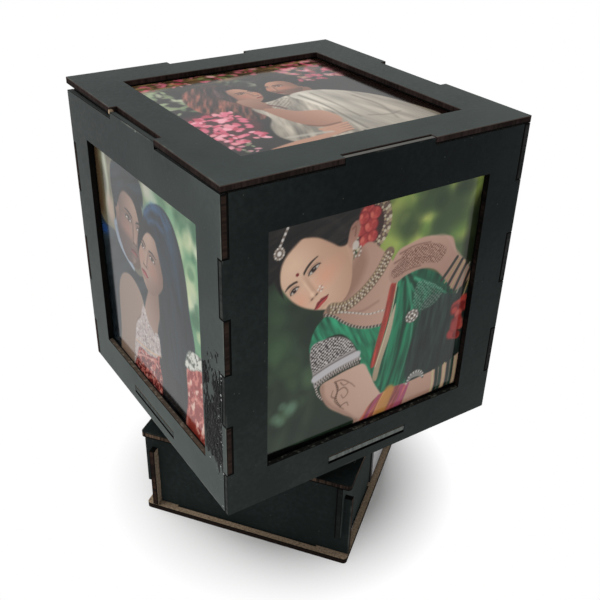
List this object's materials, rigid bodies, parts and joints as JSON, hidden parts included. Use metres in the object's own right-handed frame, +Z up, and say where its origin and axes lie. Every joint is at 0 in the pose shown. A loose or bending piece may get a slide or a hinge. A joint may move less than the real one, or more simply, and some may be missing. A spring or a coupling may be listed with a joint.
{
  "type": "rotating photo lamp",
  "caption": "Rotating photo lamp: a finger-jointed cube with a photo window in each side and in its lift-off lid, turned by a geared motor in a square base.",
  "frame": {"origin": "on the cube's spin axis, on the surface that the base stands on, at the middle of the part's bounding box", "axes": "+Z up along the spin axis; at rest -Y is square to the cube's front panel and +X to its right panel, and the base is turned 52.74 degrees clockwise from them, seen from above"},
  "size_m": [0.1586, 0.1586, 0.2228],
  "materials": {
    "base_bottom_plate": "black laminate on 3 mm MDF, satin, with burnt edges",
    "base_top_plate": "black laminate on 3 mm MDF, satin, with burnt edges",
    "base_front_wall": "black laminate on 3 mm MDF, satin, with burnt edges",
    "base_right_wall": "black laminate on 3 mm MDF, satin, with burnt edges",
    "base_back_wall": "black laminate on 3 mm MDF, satin, with burnt edges",
    "base_left_wall": "black laminate on 3 mm MDF, satin, with burnt edges",
    "motor_can": "zinc-plated steel",
    "motor_plate": "zinc-plated steel",
    "motor_bush": "machined brass",
    "motor_screw_1": "zinc-plated steel",
    "motor_screw_2": "zinc-plated steel",
    "brush_block": "black moulded plastic",
    "brush_inner": "copper, bright",
    "brush_outer": "copper, bright",
    "inlet_body": "black moulded plastic",
    "inlet_face": "white moulded plastic",
    "inlet_pin_1": "machined brass",
    "inlet_pin_2": "machined brass",
    "motor_cable": "black cable sheath",
    "brush_cable": "black cable sheath",
    "motor_shaft": "zinc-plated steel",
    "hub": "machined brass",
    "hub_grub_screw": "zinc-plated steel",
    "hub_screw_1": "zinc-plated steel",
    "hub_screw_2": "zinc-plated steel",
    "hub_nut_1": "zinc-plated steel",
    "hub_nut_2": "zinc-plated steel",
    "slip_disc": "brown phenolic board",
    "slip_ring_inner": "copper, bright",
    "slip_ring_outer": "copper, bright",
    "cube_floor": "black laminate on 3 mm MDF, satin, with burnt edges",
    "front_panel": "black laminate on 3 mm MDF, satin, with burnt edges",
    "right_panel": "black laminate on 3 mm MDF, satin, with burnt edges",
    "back_panel": "black laminate on 3 mm MDF, satin, with burnt edges",
    "left_panel": "black laminate on 3 mm MDF, satin, with burnt edges",
    "front_print": "glossy translucent photo print",
    "right_print": "glossy translucent photo print",
    "back_print": "glossy translucent photo print",
    "left_print": "glossy translucent photo print",
    "front_diffuser": "opal acrylic, satin",
    "right_diffuser": "opal acrylic, satin",
    "back_diffuser": "opal acrylic, satin",
    "left_diffuser": "opal acrylic, satin",
    "lamp_holder": "black moulded plastic",
    "holder_shell": "machined brass",
    "holder_contact": "machined brass",
    "holder_screw_1": "zinc-plated steel",
    "holder_screw_2": "zinc-plated steel",
    "lamp_lead_1": "black cable sheath",
    "lamp_lead_2": "black cable sheath",
    "bulb_tip": "machined brass",
    "bulb_cap": "zinc-plated steel",
    "bulb_body": "white moulded plastic",
    "bulb_globe": "opal diffusing plastic",
    "led_board": "white moulded plastic",
    "lid": "black laminate on 3 mm MDF, satin, with burnt edges",
    "lid_print": "glossy translucent photo print",
    "lid_diffuser": "opal acrylic, satin"
  },
  "bodies": {
    "base": {"base_bottom_plate": "base_bottom_plate", "base_top_plate": "base_top_plate", "base_front_wall": "base_front_wall", "base_right_wall": "base_right_wall", "base_back_wall": "base_back_wall", "base_left_wall": "base_left_wall", "motor_can": "motor_can", "motor_plate": "motor_plate", "motor_bush": "motor_bush", "motor_screw_1": "motor_screw_1", "motor_screw_2": "motor_screw_2", "brush_block": "brush_block", "brush_inner": "brush_inner", "brush_outer": "brush_outer", "inlet_body": "inlet_body", "inlet_face": "inlet_face", "inlet_pin_1": "inlet_pin_1", "inlet_pin_2": "inlet_pin_2", "motor_cable": "motor_cable", "brush_cable": "brush_cable"},
    "cube": {"motor_shaft": "motor_shaft", "hub": "hub", "hub_grub_screw": "hub_grub_screw", "hub_screw_1": "hub_screw_1", "hub_screw_2": "hub_screw_2", "hub_nut_1": "hub_nut_1", "hub_nut_2": "hub_nut_2", "slip_disc": "slip_disc", "slip_ring_inner": "slip_ring_inner", "slip_ring_outer": "slip_ring_outer", "cube_floor": "cube_floor", "front_panel": "front_panel", "right_panel": "right_panel", "back_panel": "back_panel", "left_panel": "left_panel", "front_print": "front_print", "right_print": "right_print", "back_print": "back_print", "left_print": "left_print", "front_diffuser": "front_diffuser", "right_diffuser": "right_diffuser", "back_diffuser": "back_diffuser", "left_diffuser": "left_diffuser", "lamp_holder": "lamp_holder", "holder_shell": "holder_shell", "holder_contact": "holder_contact", "holder_screw_1": "holder_screw_1", "holder_screw_2": "holder_screw_2", "lamp_lead_1": "lamp_lead_1", "lamp_lead_2": "lamp_lead_2"},
    "bulb_carrier": {"bulb_tip": "bulb_tip"},
    "bulb": {"bulb_cap": "bulb_cap", "bulb_body": "bulb_body", "bulb_globe": "bulb_globe", "led_board": "led_board"},
    "lid": {"lid": "lid", "lid_print": "lid_print", "lid_diffuser": "lid_diffuser"}
  },
  "joints": [
    {"name": "cube_spin", "type": "hinge", "parent": "base", "child": "cube", "pos_m": [0, 0, 0.06], "axis": [0, 0, 1], "continuous": true},
    {"name": "lid_lift", "type": "slide", "parent": "cube", "child": "lid", "axis": [0, 0, 1], "range_m": [0, 0.08]},
    {"name": "bulb_rise", "type": "slide", "parent": "cube", "child": "bulb_carrier", "axis": [0, 0, 1], "range_m": [0, 0.011]},
    {"name": "bulb_turn", "type": "hinge", "parent": "bulb_carrier", "child": "bulb", "pos_m": [0, 0, 0.1], "axis": [0, 0, 1], "range_deg": [0, 1080]}
  ],
  "couplings": [
    {"joint": "bulb_rise", "follows": "bulb_turn", "m_per_rad": 0.00057296}
  ]
}
